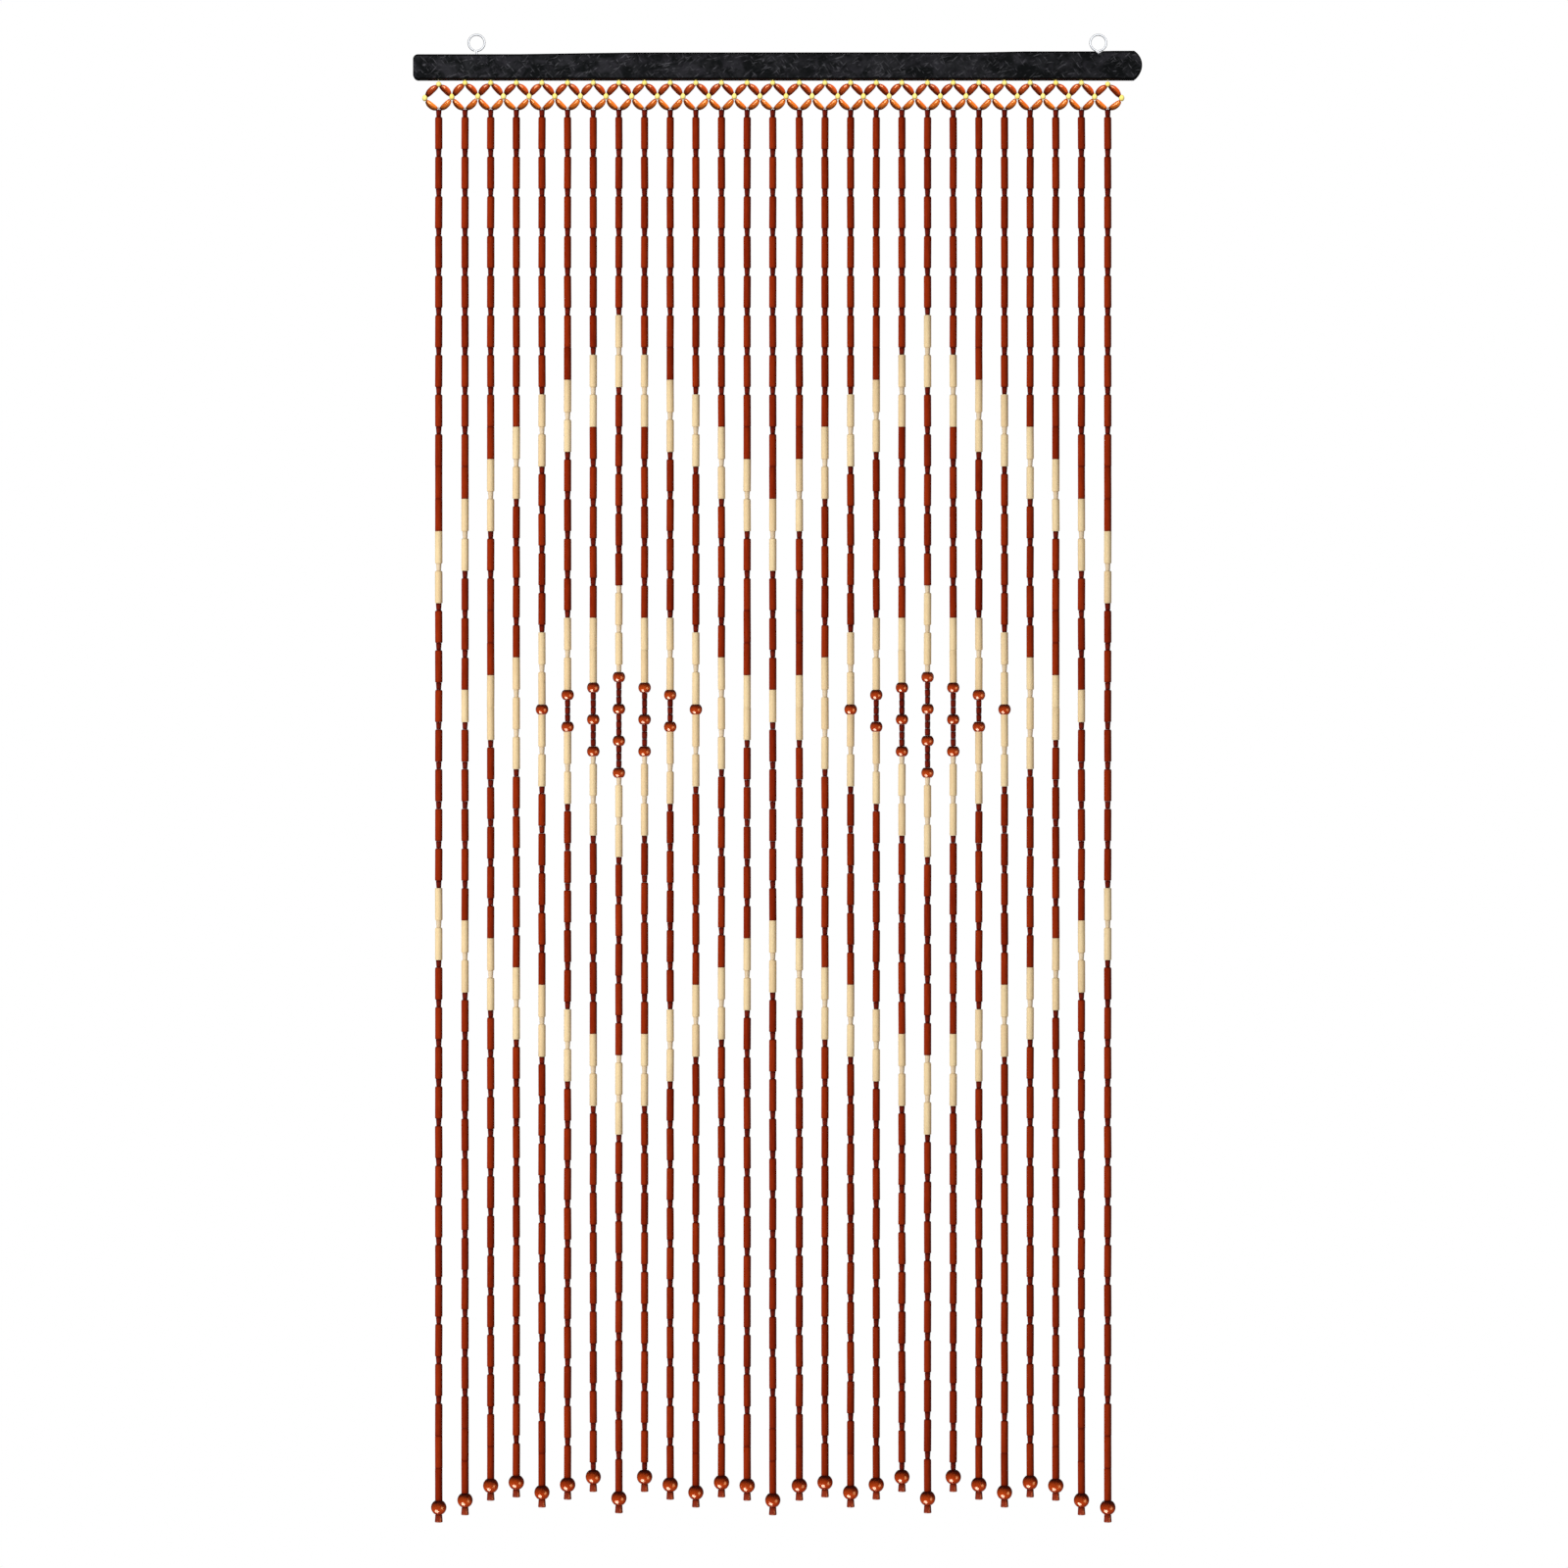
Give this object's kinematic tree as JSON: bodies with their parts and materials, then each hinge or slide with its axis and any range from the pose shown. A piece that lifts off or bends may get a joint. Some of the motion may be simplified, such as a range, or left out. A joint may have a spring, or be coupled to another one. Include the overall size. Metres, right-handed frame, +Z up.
{
  "type": "bead curtain on a hanging bar",
  "caption": "Wooden bead curtain: strands of tube beads with a cream diamond pattern, hung from a beaded heading under a painted bar with screw eyes.",
  "frame": {"origin": "middle of the bar's top edge, halfway through the bar's depth", "axes": "+X along the bar to the right as seen from the front, +Y to the back, +Z up"},
  "size_m": [0.9004, 0.02, 1.8398],
  "materials": {
    "painted_bar": "black paint, satin",
    "steel_eye": "bright zinc plating",
    "brown_wood": "red-brown stain, satin varnish",
    "cream_wood": "natural pale wood, satin varnish",
    "glossy_wood": "orange-brown stain, gloss varnish",
    "yellow_bead": "yellow paint, gloss",
    "cord": "twisted thread"
  },
  "bodies": {
    "root": {"bar": "painted_bar", "eye_left": "steel_eye", "eye_right": "steel_eye", "bead_strands": "brown_wood"}
  },
  "joints": []
}
